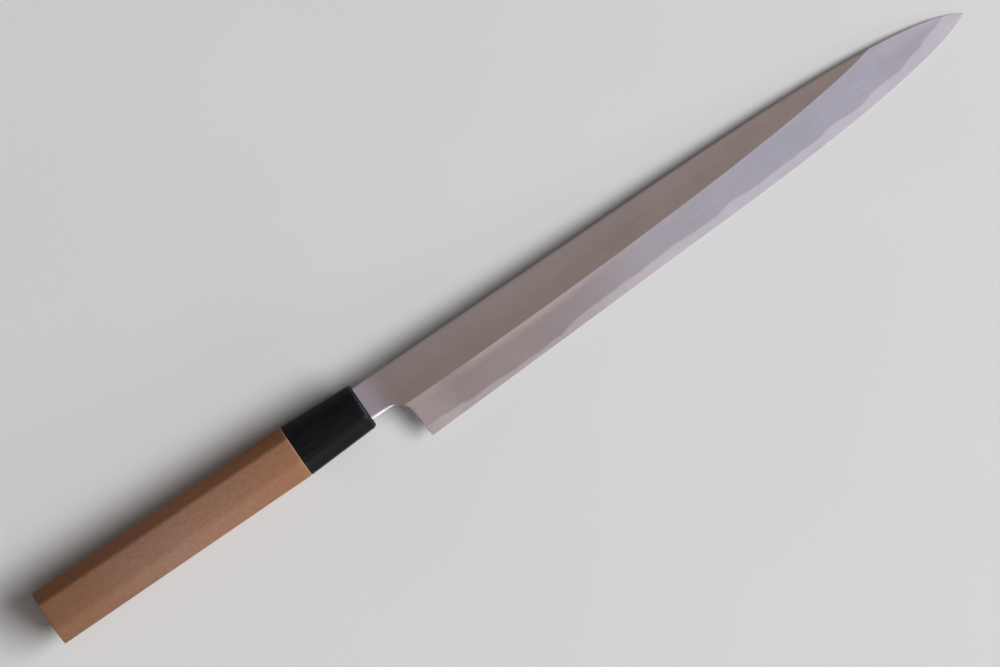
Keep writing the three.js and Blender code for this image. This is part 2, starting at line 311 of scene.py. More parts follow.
def makeBevel(name, look):
    material, tree, shader, place = newMaterial(name, Metallic=1.0)
    lines = streaksOf(tree, place, *look["lines"])
    patches = cloudsOf(tree, place, look["patchesPerMetre"])
    # painted reflection: each colour turns from warm at the heel to lavender towards the tip
    toTip = alongKnife(tree, place, *look["tipRun"])
    middle, ridge, bright = (mixColour(tree, toTip, *look[key]) for key in ("middle", "ridge", "bright"))
    # painted highlight: a band under the ridge, strongest in its run along the blade
    ridgeHighlightBand = rangeOf(tree, toTip, 0, 1, *look["ridgeHighlightBand"])
    underRidgeHighlight = rangeOf(tree, maths(tree, "ADD", markOf(tree, "belowRidge"), patches), ridgeHighlightBand,
                         look["ridgeHighlightFull"], smooth=True)
    ridgeHighlight = rangeOf(tree, insideRun(tree, place, *look["ridgeHighlightRun"]), 0, 1, look["leastRidgeHighlight"], 1.0)
    underSpine = maths(tree, "MULTIPLY", alongKnife(tree, place, *look["runoutRun"]),
                       rangeOf(tree, markOf(tree, "acrossTip"), *look["tipShares"], smooth=True))
    light = maths(tree, "MAXIMUM", maths(tree, "MULTIPLY", underRidgeHighlight, ridgeHighlight), underSpine)
    colour = mixColour(tree, light, middle, ridge)
    ragged = cloudsOf(tree, place, look["raggedPerMetre"])
    aboveHaze = maths(tree, "ADD", markOf(tree, "aboveHaze"), rangeOf(tree, ragged, 0, 1, *look["ragged"]))
    pastHeel = rangeOf(tree, alongKnife(tree, place, *look["heelRun"]), 0, 1, look["heelBright"], 1.0)
    belowHaze = maths(tree, "MULTIPLY", rangeOf(tree, aboveHaze, *look["hazeSoft"], smooth=True), pastHeel)
    colour = mixColour(tree, belowHaze, colour, bright)
    # painted shade: the bevel darkened along the middle of the blade
    colour = shaded(tree, colour, insideRun(tree, place, *look["paintedDimRun"]), 1.0, look["paintedDimShade"])
    # painted light: the bevel lightened towards the tip
    colour = shaded(tree, colour, alongKnife(tree, place, *look["paintedLiftRun"]), 1.0, look["paintedLiftShade"])
    shade = weighted(tree, lines, look["lineShare"], patches)
    colour = shaded(tree, colour, shade, *look["shade"])
    # painted highlight and wear on the neck's broken edge, as on the flat
    colour = mixColour(tree, edgeWearHighlightMask(tree, place, edgeWearHighlightLook), colour, edgeWearHighlightLook["colour"])
    finishSurface(tree, shader, look, colour, rangeOf(tree, lines, 0, 1, *look["roughness"]), lines)
    return material


# Back of the steel: the hollow keeps dull grinding lines, the flat rim round it is polished
steelBackLook = {
    "hollow": (0.44, 0.42, 0.42, 1), "hollowLight": (0.56, 0.54, 0.545, 1), "rim": (0.74, 0.72, 0.73, 1),
    "rimSoft": (0.15, 0.0), "rimPolish": 0.12, "lines": (2600, 130, 0.4),
    "roughness": (0.34, 0.48), "bump": 0.08, "depth": 0.0002,
}


def makeSteelBack(look):
    material, tree, shader, place = newMaterial("steelBack", Metallic=1.0)
    lines = streaksOf(tree, place, *look["lines"])
    colour = mixColour(tree, lines, look["hollow"], look["hollowLight"])
    onRim = rangeOf(tree, markOf(tree, "inHollow"), *look["rimSoft"], smooth=True)
    colour = mixColour(tree, onRim, colour, look["rim"])
    roughness = maths(tree, "SUBTRACT", rangeOf(tree, lines, 0, 1, *look["roughness"]),
                      maths(tree, "MULTIPLY", onRim, look["rimPolish"]))
    finishSurface(tree, shader, look, colour, roughness, lines)
    return material


# Bare magnolia: faint growth rings cut lengthwise, fine fibres and short pores, greyer where the hand
# holds it, painted shade above the side's ridge, most of all behind the ferrule, darker towards the butt,
# paler at its worn edges, a painted highlight on the collar's rim, and the tenon dark from the collar on
woodLook = {
    "early": (0.34, 0.162, 0.082, 1), "late": (0.30, 0.134, 0.065, 1), "handled": (0.30, 0.158, 0.102, 1),
    "upperShade": (0.78, 0.65, 0.48, 1), "upperShadeSoft": (-0.7, 0.9),
    "nearFerruleShade": (0.76, 0.68, 0.58, 1), "nearFerruleShadeRun": (72, 112), "nearFerruleShadeSoft": (0.3, 5.5),
    "handledRun": (8, 45, 80, 112), "handledShares": (0.45, 1.0), "patchesPerMetre": 55.0,
    "ringCentre": (0.0, -0.052, 0.094), "ringSquash": (0.12, 1.0, 1.0), "ringsPerMetre": 62.0,
    "ringWobble": 2.2, "ringDetail": 2.0, "ringDetailScale": 1.4, "ringShare": 0.4,
    "sidesRun": (0.05, 0.35), "endShade": (0.92, 1.07), "buttRun": (0, 70), "buttShade": 0.76,
    "fibres": (3200, 34, 0.3), "flecks": (1100, 3, 0.0), "fleckShade": (0.93, 1.07),
    "pores": (5200, 11, 0.0), "pore": (0.12, 0.055, 0.03, 1), "poreSpan": (0.68, 0.95), "poreShare": 0.36,
    "worn": (0.44, 0.26, 0.165, 1), "wornSpan": (0.51, 0.60), "wornShare": 0.55,
    "collarHighlight": (0.46, 0.31, 0.23, 1), "collarHighlightRun": (collarX - 0.6, collarX - 0.15), "collarHighlightShare": 0.7,
    "tenonDark": (0.055, 0.03, 0.018, 1), "tenonDarkRun": (collarX - 0.1, collarX + 0.3),
    "gloss": 0.35, "roughness": (0.55, 0.68), "bump": 0.12, "depth": 0.0002,
}


def makeWood(look):
    material, tree, shader, place = newMaterial("magnoliaWood", Specular_IOR_Level=look["gloss"])
    shifted = addNode(tree, "Mapping", {"Vector": place, "Location": look["ringCentre"],
                                        "Scale": look["ringSquash"]}).outputs[0]
    rings = addNode(tree, "TexWave", {"Vector": shifted, "Scale": look["ringsPerMetre"],
                                      "Distortion": look["ringWobble"], "Detail": look["ringDetail"],
                                      "Detail Scale": look["ringDetailScale"]},
                    wave_type="RINGS", rings_direction="X", wave_profile="SIN").outputs["Fac"]
    fibres = streaksOf(tree, place, *look["fibres"])
    poreMask = rangeOf(tree, streaksOf(tree, place, *look["pores"]), *look["poreSpan"], smooth=True)
    flecks = streaksOf(tree, place, *look["flecks"])
    patches = cloudsOf(tree, place, look["patchesPerMetre"])
    colour = mixColour(tree, weighted(tree, rings, look["ringShare"], fibres), look["late"], look["early"])
    handled = maths(tree, "MULTIPLY", insideRun(tree, place, *look["handledRun"]),
                    rangeOf(tree, patches, 0, 1, *look["handledShares"]))
    colour = mixColour(tree, handled, colour, look["handled"])
    onSides = alongKnife(tree, place, *look["sidesRun"])
    # painted shade: the facets above the side's ridge darkened
    upperShade = rangeOf(tree, markOf(tree, "aboveSide"), *look["upperShadeSoft"], smooth=True)
    colour = mixColour(tree, maths(tree, "MULTIPLY", upperShade, onSides), colour, look["upperShade"], "MULTIPLY")
    # painted shade: the facets above the side's ridge darker still behind the ferrule
    nearFerruleShade = maths(tree, "MULTIPLY", alongKnife(tree, place, *look["nearFerruleShadeRun"]),
                 rangeOf(tree, markOf(tree, "aboveSide"), *look["nearFerruleShadeSoft"], smooth=True))
    colour = mixColour(tree, nearFerruleShade, colour, look["nearFerruleShade"], "MULTIPLY")
    endRings = addNode(tree, "Mix", {0: onSides, 2: rings, 3: 0.5}).outputs[0]  # even on the sides
    colour = shaded(tree, colour, endRings, *look["endShade"])
    colour = shaded(tree, colour, alongKnife(tree, place, *look["buttRun"]), look["buttShade"], 1.0)
    colour = shaded(tree, colour, flecks, *look["fleckShade"])
    colour = mixColour(tree, maths(tree, "MULTIPLY", poreMask, look["poreShare"]), colour, look["pore"])
    worn = maths(tree, "MULTIPLY", wornOf(tree, place, *look["wornSpan"]), onSides)
    worn = maths(tree, "MULTIPLY", worn, look["wornShare"])
    colour = mixColour(tree, worn, colour, look["worn"])
    # painted highlight: the collar's rounded rim made lighter
    atCollarHighlight = maths(tree, "MULTIPLY", alongKnife(tree, place, *look["collarHighlightRun"]), look["collarHighlightShare"])
    colour = mixColour(tree, atCollarHighlight, colour, look["collarHighlight"])
    # the tenon dark from the collar on, where it shows in the mouth
    colour = mixColour(tree, alongKnife(tree, place, *look["tenonDarkRun"]), colour, look["tenonDark"])
    height = maths(tree, "SUBTRACT", fibres, poreMask)
    finishSurface(tree, shader, look, colour, rangeOf(tree, fibres, 0, 1, *look["roughness"]), height)
    return material


# Polished black horn: faint grey streaks along the ring, rubbed paler at its edges, and paler still on the
# mouth's chamfer, a painted highlight in the same colour
hornLook = {
    "black": (0.0030, 0.0029, 0.0040, 1), "streak": (0.0075, 0.0072, 0.0095, 1),
    "scuffAndHighlight": (0.045, 0.047, 0.056, 1), "scuffSpan": (0.53, 0.66), "edgeShare": 0.5,
    "mouthHighlightRun": (mouthX - 1.3, mouthX - 0.95, mouthX - 0.5, mouthX - 0.1), "mouthHighlightShares": (0.24, 0.6),
    "lines": (900, 14, 0.3), "patchesPerMetre": 110.0,
    "gloss": 0.14, "roughness": (0.30, 0.42), "bump": 0.06, "depth": 0.0002,
}


def makeHorn(look):
    material, tree, shader, place = newMaterial("blackHorn", Specular_IOR_Level=look["gloss"])
    lines = streaksOf(tree, place, *look["lines"])
    patches = cloudsOf(tree, place, look["patchesPerMetre"])
    worn = wornOf(tree, place, *look["scuffSpan"])
    colour = mixColour(tree, maths(tree, "MULTIPLY", lines, patches), look["black"], look["streak"])
    # painted highlight: a broken pale band on the mouth's chamfer
    mouthHighlight = maths(tree, "MULTIPLY", insideRun(tree, place, *look["mouthHighlightRun"]),
                    rangeOf(tree, patches, 0, 1, *look["mouthHighlightShares"]))
    worn = maths(tree, "MAXIMUM", maths(tree, "MULTIPLY", worn, look["edgeShare"]), mouthHighlight)
    colour = mixColour(tree, worn, colour, look["scuffAndHighlight"])
    finishSurface(tree, shader, look, colour, rangeOf(tree, lines, 0, 1, *look["roughness"]), lines)
    return material


# Set resin round the tang: dark amber with small specks
resinLook = {
    "dark": (0.018, 0.011, 0.007, 1), "light": (0.05, 0.028, 0.014, 1), "specksPerMetre": 900.0,
    "speckDetail": 4.0, "roughness": (0.35, 0.55), "bump": 0.2, "depth": 0.0002,
}


def makeResin(look):
    material, tree, shader, place = newMaterial("setResin")
    specks = cloudsOf(tree, place, look["specksPerMetre"], look["speckDetail"])
    colour = mixColour(tree, specks, look["dark"], look["light"])
    finishSurface(tree, shader, look, colour, rangeOf(tree, specks, 0, 1, *look["roughness"]), specks)
    return material


ironFlat, ironBevel = makeIronFlat(ironFlatLook), makeBevel("ironBevel", bevelLook)
steelEdge, steelBack = makeBevel("steelEdge", bevelLook), makeSteelBack(steelBackLook)
magnoliaWood, blackHorn, setResin = makeWood(woodLook), makeHorn(hornLook), makeResin(resinLook)
print("materials made:", len(bpy.data.materials))


# Blade lines in millimetres, the same as the CAD's
blade = {
    "neckHeight": 14.1, "heelLean": 1.3, "choilRadius": 6.9, "steelStart": 7.4,
    "edgeSlope": 2.24, "tipDrop": 12.55, "tipBlunt": 0.4,
    "spineSweep": 153.0, "spineSweepHandle": 69.0, "spineTip": (19.0, 12.3),
    "edgeSweep": 142.0, "edgeSweepHandle": 28.0, "edgeTip": (26.0, 12.1),
    "bevelWidth": 15.8, "ridgeHandle": 60.0, "ridgeRunout": 37.5, "ridgeRunoutHandle": (31.5, 9.2),
    "leastFlat": 0.02, "tipThickness": 1.2, "edgeBlunt": 0.12, "bevelSwell": 0.07,
    "neckSwell": 0.28, "neckSwellRun": 9.0,
    "band": 4.0, "bandWave": 0.45, "bandWaveLength": 47.0, "bandRipple": 2.3,
    "ironSetback": 7.0, "bandTipRise": 20.0,
    "hollowDepth": 0.35, "hollowRim": 1.8, "hollowStart": 3.0, "hollowFade": 16.0, "hollowShare": 0.4,
    "rimShare": 0.25, "curveSteps": 4001, "crossingSteps": 20001,
}
farAway = 1e3  # past everything, in millimetres
heelX = steelLow[0] + blade["steelStart"]
tipY = spineY - blade["tipDrop"]
neckBottom = spineY - blade["neckHeight"]
neckThickness = -2 * backZ
edgeSweepX = tipX - blade["edgeSweep"]
runoutX = tipX - blade["ridgeRunout"]
ironEndX = tipX - blade["ironSetback"]


def curveHeight(corners, x):  # height at x of a cubic Bezier curve, level before and after its ends
    t = np.linspace(0.0, 1.0, blade["curveSteps"])[:, None]
    p = np.array(corners)
    curve = (1 - t) ** 3 * p[0] + 3 * (1 - t) ** 2 * t * p[1] + 3 * (1 - t) * t ** 2 * p[2] + t ** 3 * p[3]
    return np.interp(x, curve[:, 0], curve[:, 1])


def smoothStep(share):  # nought to one, level at both ends
    return share * share * (3 - 2 * share)


def spineAt(x):  # straight, then a sweep down to the tip
    startX = tipX - blade["spineSweep"]
    endY = tipY + blade["tipBlunt"] / 2
    run, rise = blade["spineTip"]
    return curveHeight([(startX, spineY), (startX + blade["spineSweepHandle"], spineY),
                        (tipX - run, endY + rise), (tipX, endY)], x)


def edgeAt(x):  # straight and slightly rising, then a sweep up to the tip
    straight = lambda place: heelY + math.tan(math.radians(blade["edgeSlope"])) * (place - heelX)
    handleX = edgeSweepX + blade["edgeSweepHandle"]
    endY = tipY - blade["tipBlunt"] / 2
    run, fall = blade["edgeTip"]
    curve = curveHeight([(edgeSweepX, straight(edgeSweepX)), (handleX, straight(handleX)),
                         (tipX - run, endY - fall), (tipX, endY)], x)
    return np.where(x < edgeSweepX, straight(x), curve)


def ridgeAt(x):  # level at the heel, then up to the spine at the runout
    start = heelY + blade["bevelWidth"]
    run, fall = blade["ridgeRunoutHandle"]
    endY = spineAt(runoutX)
    curve = curveHeight([(heelX, start), (heelX + blade["ridgeHandle"], start),
                         (runoutX - run, endY - fall), (runoutX, endY)], x)
    spine = spineAt(x)
    return np.minimum(curve, spine - blade["leastFlat"] * (spine - edgeAt(x)))


def thicknessAt(x):  # even taper from the neck, and past the runout in step with the width
    taper = lambda place: np.interp(place, [mouthX, tipX], [neckThickness, blade["tipThickness"]])
    width = lambda place: spineAt(place) - edgeAt(place)
    blunt = blade["edgeBlunt"]
    past = blunt + (taper(runoutX) - blunt) * width(x) / width(runoutX)
    return np.where(x < runoutX, taper(x), past)


# Upper face without its broken edges: the flat, or the bevel as a straight slope from the edge to
# the ridge with a slight swell; the neck thickens towards the ferrule.
def topAt(x, y):
    edge, ridge, thickness = edgeAt(x), ridgeAt(x), thicknessAt(x)
    share = np.clip((y - edge) / (ridge - edge), 0, 1)
    swell = blade["bevelSwell"] * 4 * share * (1 - share) * thickness / neckThickness
    neck = blade["neckSwell"] * np.clip(1 - (x - mouthX) / blade["neckSwellRun"], 0, 1) ** 2
    return backZ + blade["edgeBlunt"] + (thickness - blade["edgeBlunt"]) * share + swell + neck


def bandAt(x):  # visible width of the steel: wavy, and growing to the whole width at the iron's end
    turn = 2 * np.pi * (x - heelX) / blade["bandWaveLength"]
    waves = (np.sin(turn) + np.sin(blade["bandRipple"] * turn + 1)) / 2
    wavy = blade["band"] + blade["bandWave"] * waves
    rise = np.clip((x - ironEndX) / blade["bandTipRise"] + 1, 0, 1) ** 3
    return wavy + (spineAt(x) - edgeAt(x) - wavy) * rise


def weldLineAt(x):
    return edgeAt(x) + bandAt(x)


# Bright edge left by the stones: its width at places counted from the heel, smooth steps between
haze = {
    "places": (-12, 6, 14, 22, 30, 42, 62, 72, 94, 100, 116, 136, 146, 158, 172, 184, 194, 205, 218, 227,
               237, 246, 254),
    "widths": (3.8, 3.8, 3.5, 2.3, 2.4, 1.7, 1.7, 3.4, 3.6, 3.4, 3.9, 3.1, 4.4, 3.4, 3.6, 3.4, 4.1, 3.0, 4.2,
               3.5, 4.8, 5.8, 6.2),
    "leastAcross": 0.5,
}


def hazeLineAt(x):
    count = np.arange(len(haze["places"]))
    step = np.interp(x - heelX, haze["places"], count)
    step = np.floor(step) + smoothStep(step - np.floor(step))
    return edgeAt(x) + np.interp(step, count, haze["widths"])


def weldAt(x):  # the weld lies level at the height where the bevel cuts it
    return topAt(x, weldLineAt(x))


choilX = heelX - blade["heelLean"] - blade["choilRadius"]
choilY = neckBottom - blade["choilRadius"]
toHeel = np.array([heelX - choilX, heelY - choilY])
touchAngle = math.atan2(toHeel[1], toHeel[0]) + math.acos(blade["choilRadius"] / math.hypot(*toHeel))
touchX = choilX + blade["choilRadius"] * math.cos(touchAngle)
touchY = choilY + blade["choilRadius"] * math.sin(touchAngle)


def notchAt(x):  # lower outline under the neck: level, round the choil, then the line to the heel
    arc = choilY + np.sqrt(np.clip(blade["choilRadius"] ** 2 - (x - choilX) ** 2, 0, None))
    line = touchY + (x - touchX) * (heelY - touchY) / (heelX - touchX)
    return np.where(x < choilX, neckBottom, np.where(x < touchX, arc, np.where(x <= heelX, line, -farAway)))


def notchCrossing(lineAt):  # where the notch's outline comes down to another line
    x = np.linspace(choilX, heelX, blade["crossingSteps"])
    return np.interp(0.0, lineAt(x) - notchAt(x), x)


ridgeCrossX, weldCrossX = notchCrossing(ridgeAt), notchCrossing(weldLineAt)


def notchDistance(x, y):  # least distance to that outline
    level = np.hypot(np.clip(x - choilX, 0, None), y - neckBottom)
    curved = np.abs(np.hypot(x - choilX, y - choilY) - blade["choilRadius"])
    angle = np.arctan2(y - choilY, x - choilX)
    curved = np.where((angle > touchAngle) & (angle < np.pi / 2), curved, farAway)
    alongX, alongY = heelX - touchX, heelY - touchY
    share = np.clip(((x - touchX) * alongX + (y - touchY) * alongY) / (alongX ** 2 + alongY ** 2), 0, 1)
    line = np.hypot(x - touchX - share * alongX, y - touchY - share * alongY)
    return np.minimum(np.minimum(level, curved), line)


def broken(distance, radius):  # how far a broken edge falls: a parabola, radius deep at the edge itself
    radius = np.maximum(radius, 1e-5)  # so that nothing is divided by nought
    return radius * np.clip(1 - distance / radius, 0, 1) ** 2


def chamfered(distance, width, slope, soft):  # how far a chamfer falls: a slope with a softened bend
    reach = width - distance
    return slope * (reach + np.sqrt(reach ** 2 + (soft * width) ** 2)) / 2


def sectionRings(x, lowY, lowZ, highY, highZ):  # along the under side, then back over the upper side
    ringY = np.concatenate([lowY, highY[:, ::-1]], 1)
    ringZ = np.concatenate([lowZ, highZ[:, ::-1]], 1)
    return np.stack([np.broadcast_to(x[:, None], ringY.shape), ringY, ringZ], -1)


# Places along the blade: close round the choil and heel, closer towards the tip, and one at each
# place where the notch meets the ridge or the weld line
stations = {
    "stops": (choilX, touchX - 0.4, heelX + 1.6, tipX - 40, tipX - 6, tipX),
    "counts": (12, 34, 34, 170, 45, 22), "apart": 0.03,
}


def bladePlaces(start, end):
    stops = (start, *stations["stops"])
    stretches = [np.linspace(*stretch) for stretch in zip(stops, stops[1:], stations["counts"])]
    places = np.concatenate([*stretches, [end]])
    crossings = np.array([ridgeCrossX, weldCrossX])
    apart = np.abs(places[:, None] - crossings).min(1) > stations["apart"]
    places = np.concatenate([places[apart], crossings])
    return np.unique(np.round(places[(places >= start) & (places <= end)], 4))


ironBody = {
    "neckChamfer": 0.85, "choilChamfer": 0.4, "choilRun": (choilX - 1, choilX + 4), "chamferSlope": 0.73,
    "chamferSoft": 0.16, "chamferMost": 0.45, "neckBand": 1.6, "leastBand": 0.05, "crestMost": 0.985,
    "backEase": 0.48, "spineEase": 0.42, "spineMost": 0.3, "spineRoom": 2.0, "leastWall": 0.02,
    "seam": 0.2, "seamApart": 0.4, "endGap": 0.25, "leastGap": 0.004, "finishSlack": 0.05,
    "tangHeight": (4.4, 6.6), "tangThickness": (2.2, 3.4), "tangPlaces": 6,
    "bevelColumns": 18, "bevelCrowd": 1.7, "flatColumns": 15, "flatCrowd": 2, "ridgeHalf": 0.1,
    "ridgeMost": 0.4, "spineColumns": (0.75, 0.5, 0.34, 0.22, 0.13, 0.06, 0.0),
}


# Iron: columns run from the lower outline or the weld line over the ridge to the spine, crowded towards
# the edges, and every broken edge keeps to a share of the thickness there.
def ironRings(own):
    x = bladePlaces(mouthX, ironEndX - own["endGap"])
    seamX = steelLow[0] - own["seam"]
    x = x[np.abs(x - steelLow[0]) > own["seamApart"]]
    x = np.sort(np.concatenate([x, [seamX, steelLow[0]]]))
    at = x[:, None]
    spine, ridge = spineAt(at), ridgeAt(at)
    low = np.maximum(notchAt(at), weldLineAt(at) + own["leastWall"])
    inNeck = at <= seamX
    low = np.where(inNeck, notchAt(at), low)
    above = np.clip((low - ridge) / (neckBottom - ridge), 0, 1)
    crest = np.maximum(ridge, low + own["leastBand"] + own["neckBand"] * smoothStep(above))
    crest = np.minimum(crest, low + own["crestMost"] * (spine - low))
    room = np.clip((spine - crest) / own["spineRoom"], 0, 1)
    half = np.minimum(own["ridgeHalf"] * room, own["ridgeMost"] * (crest - low))
    under = low + (crest - half - low) * np.linspace(0, 1, own["bevelColumns"]) ** own["bevelCrowd"]
    ends = spine - np.array(own["spineColumns"]) * room
    flatShare = np.linspace(0, 1, own["flatColumns"])[:-1] ** own["flatCrowd"]
    over = crest + half + (ends[:, :1] - crest - half) * flatShare
    y = np.concatenate([under, crest, over, ends], 1)
    weld = np.where(inNeck, backZ, weldAt(at))
    top = topAt(at, y)
    notch = notchDistance(at, y)
    roundChoil = np.interp(at, own["choilRun"], (0, 1))
    chamfer = own["neckChamfer"] + (own["choilChamfer"] - own["neckChamfer"]) * roundChoil
    width = np.minimum(chamfer, own["chamferMost"] * np.maximum(top - weld, 0))
    high = top - chamfered(notch, width, own["chamferSlope"], own["chamferSoft"])
    high = high - broken(spine - y, np.minimum(own["spineEase"], own["spineMost"] * (top - weld)))
    under = backZ + broken(notch, own["backEase"]) + broken(spine - y, own["backEase"])
    bottom = np.where(inNeck, under, np.minimum(weld, high - own["leastGap"]))
    share = np.linspace(0, 1, own["tangPlaces"])[:, None]
    across = np.linspace(-0.5, 0.5, y.shape[1])
    tangY = across * (own["tangHeight"][0] + share * np.subtract(*own["tangHeight"][::-1]))
    tangZ = (own["tangThickness"][0] + share * np.subtract(*own["tangThickness"][::-1])) / 2
    tangZ = np.broadcast_to(tangZ, tangY.shape)
    tangX = tangEndX + share[:, 0] * (mouthX - tangEndX)
    tang = sectionRings(tangX, tangY, -tangZ, tangY, tangZ)
    return np.concatenate([tang, sectionRings(x, y, bottom, y, high)]), y.shape[1]


ironPoints, ironColumns = ironRings(ironBody)
markRidge = lambda p: ridgeAt(p[:, 0]) - p[:, 1]
markHaze = lambda p: p[:, 1] - hazeLineAt(p[:, 0])
markEdge = lambda p: notchDistance(p[:, 0], p[:, 1])


def markAcross(p):  # share of the way from the spine down to the haze line
    spine = spineAt(p[:, 0])
    return (spine - p[:, 1]) / np.maximum(spine - hazeLineAt(p[:, 0]), haze["leastAcross"])


bevelMarks = {"belowRidge": markRidge, "aboveHaze": markHaze, "acrossTip": markAcross, "nearEdge": markEdge}


def ironFinish(centre, column):  # bevel material on upper faces below the crest and past its runout
    fromLow = 2 * ironColumns - 1 - column
    upper = (column >= ironColumns) & (fromLow > 0)
    x, y = centre[:, 0], centre[:, 1]
    bevelled = (fromLow <= ironBody["bevelColumns"]) & (y < ridgeAt(x) + ironBody["finishSlack"])
    return upper & (bevelled | (x > runoutX)) & (x > choilX)


pieceFromRings("iron_body", ironPoints, "blade_iron", [ironFlat, ironBevel],
               faceMaterial=ironFinish, marks=bevelMarks)

steelPlate = {
    "backEase": 0.3, "backMost": 0.3, "heelEase": 0.3, "heelMost": 0.4, "heelReach": 2, "bareRun": 0.5,
    "bandColumns": 14, "bandCrowd": 1.5, "leastBand": 0.05, "leastShare": 0.1, "mostShare": 0.97,
    "borderHalf": 0.03, "borderShare": 0.01, "bandShare": 0.4,
    "weldColumns": 7, "rimColumns": 4, "hollowColumns": 20,
}


def rimAt(x):
    return np.minimum(blade["hollowRim"], blade["rimShare"] * (spineAt(x) - edgeAt(x)))


def hollowShareAt(x, y):  # nought on the rim, one in the middle of the hollow
    rim = rimAt(x)
    low, high = edgeAt(x) + rim, spineAt(x) - rim
    share = np.clip((y - low) / (high - low), 0, 1)
    start = heelX + blade["hollowStart"]
    fade = np.clip((x - start) / blade["hollowFade"], 0, 1)
    return 4 * share * (1 - share) * smoothStep(fade)


# Steel: over the bevel as far as the weld line, level under the iron, and hollow at the back.
def steelRings(own):
    x = bladePlaces(steelLow[0], tipX)
    at = x[:, None]
    spine, edge = spineAt(at), edgeAt(at)
    low = np.maximum(notchAt(at), edge)
    border = np.clip(weldLineAt(at), low + np.minimum(own["leastBand"], own["leastShare"] * (spine - low)),
                     low + own["mostShare"] * (spine - low))
    half = np.minimum(own["borderHalf"], own["borderShare"] * (spine - low))
    half = np.minimum(half, own["bandShare"] * (border - low))
    shown = low + (border - half - low) * np.linspace(0, 1, own["bandColumns"]) ** own["bandCrowd"]
    hidden = border + half + (spine - border - half) * np.linspace(0, 1, own["weldColumns"])
    highY = np.concatenate([shown, border, hidden], 1)
    high = np.minimum(topAt(at, highY), weldAt(at))
    bare = np.clip((weldLineAt(at) - highY) / own["bareRun"], 0, 1)
    ease = np.minimum(own["heelEase"] * bare, own["heelMost"] * (high - backZ))
    atHeel = at < heelX + own["heelReach"]
    high = high - broken(np.where(atHeel, notchDistance(at, highY), farAway), ease)
    rim = np.minimum(rimAt(at), blade["rimShare"] * (spine - low))
    rimShare = np.linspace(0, 1, own["rimColumns"])
    inner = np.linspace(0, 1, own["hollowColumns"])[1:-1]
    lowY = np.concatenate([low + rim * rimShare, low + rim + (spine - low - 2 * rim) * inner,
                           spine - rim * rimShare[::-1]], 1)
    deep = np.minimum(blade["hollowDepth"], blade["hollowShare"] * (weldAt(at) - backZ))
    lowEase = np.minimum(own["backEase"], own["backMost"] * (high[:, :1] - backZ))
    spineEase = np.minimum(own["backEase"], own["backMost"] * (high[:, -1:] - backZ))
    notch = np.where(atHeel, notchDistance(at, lowY), farAway)
    bottom = backZ + deep * hollowShareAt(at, lowY) + broken(notch, lowEase)
    bottom = bottom + broken(spine - lowY, spineEase)
    return sectionRings(x, lowY, bottom, highY, high), lowY.shape[1]


steelPoints, steelBackColumns = steelRings(steelPlate)


def steelFinish(centre, column):  # back material on the under side
    return column < steelBackColumns - 1


pieceFromRings("steel_edge", steelPoints, "edge_steel", [steelEdge, steelBack],
               faceMaterial=steelFinish,
               marks={**bevelMarks, "inHollow": lambda p: hollowShareAt(p[:, 0], p[:, 1])})


# Handle sections in millimetres: octagons with broken corners and slightly crowned flats
handle = {
    "upperRidge": (6.15, 5.7, 4.7), "lowerRidge": (6.15, 5.2, 4.7), "crownFlat": (9.6, 8.8, 7.8),
    "mouthHeight": 19.4, "cornerEase": (1.2, 1.2, 1.2, 2.4, 1.4, 1.4, 2.4, 1.2),
    "cornerSteps": 7, "flatSteps": 9, "crown": 0.22,
    "slotMargin": 1.2, "tenonWall": 0.9, "boreGap": 0.3, "ferruleWall": 1.3, "mouthEase": 0.9,
}
sectionX = [0.0, collarX, mouthX]
slotHalves = np.array([ironBody["tangHeight"][1], ironBody["tangThickness"][1]]) / 2 + handle["slotMargin"]
tenonRadius = math.hypot(*slotHalves) + handle["tenonWall"]
boreRadius = tenonRadius + handle["boreGap"]
sectionHeight = [woodHigh[1] - woodLow[1], ferruleHigh[1] - ferruleLow[1], handle["mouthHeight"]]
sectionWidth = [woodHigh[2] - woodLow[2], ferruleHigh[2] - ferruleLow[2],
                2 * (boreRadius + handle["ferruleWall"] + handle["mouthEase"])]


